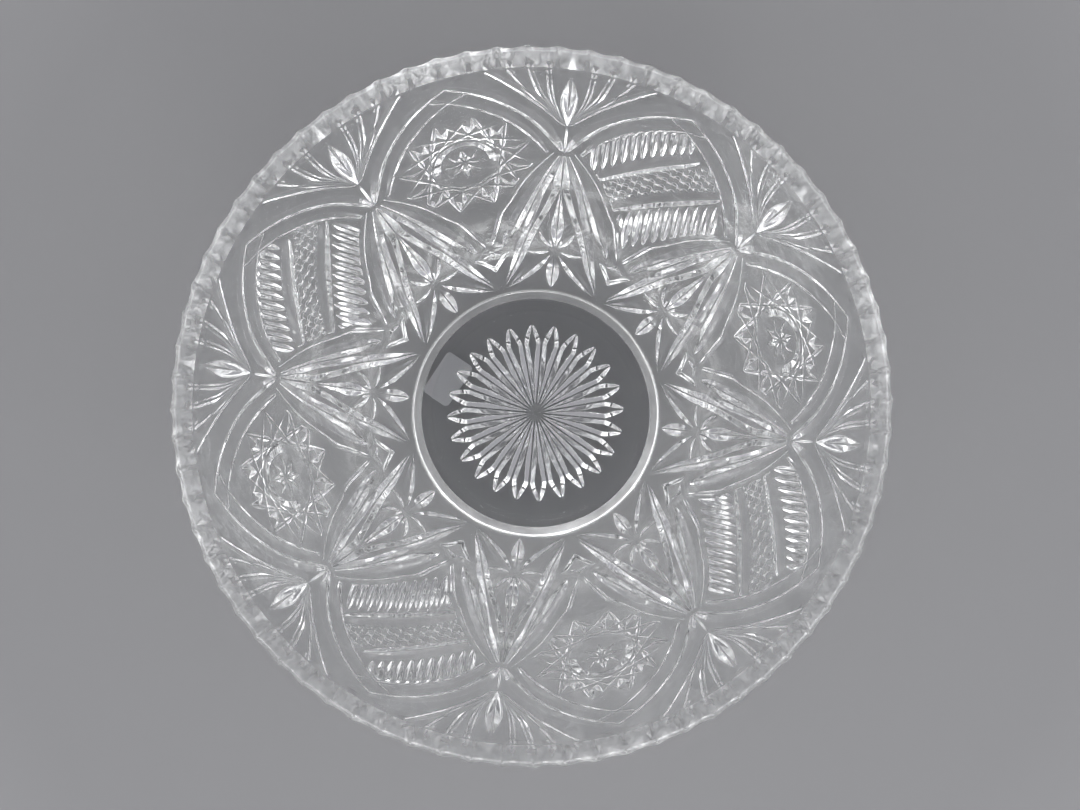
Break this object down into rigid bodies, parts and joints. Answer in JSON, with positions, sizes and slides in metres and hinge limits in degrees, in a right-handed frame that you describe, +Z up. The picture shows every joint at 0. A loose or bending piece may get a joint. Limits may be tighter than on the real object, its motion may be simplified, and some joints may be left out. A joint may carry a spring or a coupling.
{
  "type": "punch bowl",
  "caption": "Round clear glass punch bowl on a foot ring, its outside pressed with arches, stars, bands and fans under a scalloped rim, with a blank paper label under the base.",
  "frame": {"origin": "centre of the foot ring's resting plane, under the bowl's axis", "axes": "+Z up the bowl's axis; +Y towards the knot where the first and last arches meet; the pattern repeats every 45 degrees"},
  "size_m": [0.303, 0.303, 0.1296],
  "materials": {
    "smooth_glass": "clear, fire-polished",
    "cut_glass": "clear, pressed with sharp vee cuts",
    "paper_label": "matt white paper"
  },
  "bodies": {
    "root": {"bowl_wall": "smooth_glass", "base_ring": "smooth_glass", "base_star": "cut_glass", "foot_ring": "smooth_glass", "rim_band": "smooth_glass", "price_label": "paper_label", "hobstar_panel_1": "cut_glass", "hobstar_panel_2": "cut_glass", "hobstar_panel_3": "cut_glass", "hobstar_panel_4": "cut_glass", "band_panel_1": "cut_glass", "band_panel_2": "cut_glass", "band_panel_3": "cut_glass", "band_panel_4": "cut_glass", "arch_frame_1": "cut_glass", "arch_frame_2": "cut_glass", "arch_frame_3": "cut_glass", "arch_frame_4": "cut_glass", "arch_frame_5": "cut_glass", "arch_frame_6": "cut_glass", "arch_frame_7": "cut_glass", "arch_frame_8": "cut_glass", "star_gusset_1": "cut_glass", "star_gusset_2": "cut_glass", "star_gusset_3": "cut_glass", "star_gusset_4": "cut_glass", "star_gusset_5": "cut_glass", "star_gusset_6": "cut_glass", "star_gusset_7": "cut_glass", "star_gusset_8": "cut_glass", "fan_1": "cut_glass", "fan_2": "cut_glass", "fan_3": "cut_glass", "fan_4": "cut_glass", "fan_5": "cut_glass", "fan_6": "cut_glass", "fan_7": "cut_glass", "fan_8": "cut_glass", "nailhead_1": "cut_glass", "nailhead_2": "cut_glass", "nailhead_3": "cut_glass", "nailhead_4": "cut_glass", "nailhead_5": "cut_glass", "nailhead_6": "cut_glass", "nailhead_7": "cut_glass", "nailhead_8": "cut_glass"}
  },
  "joints": []
}
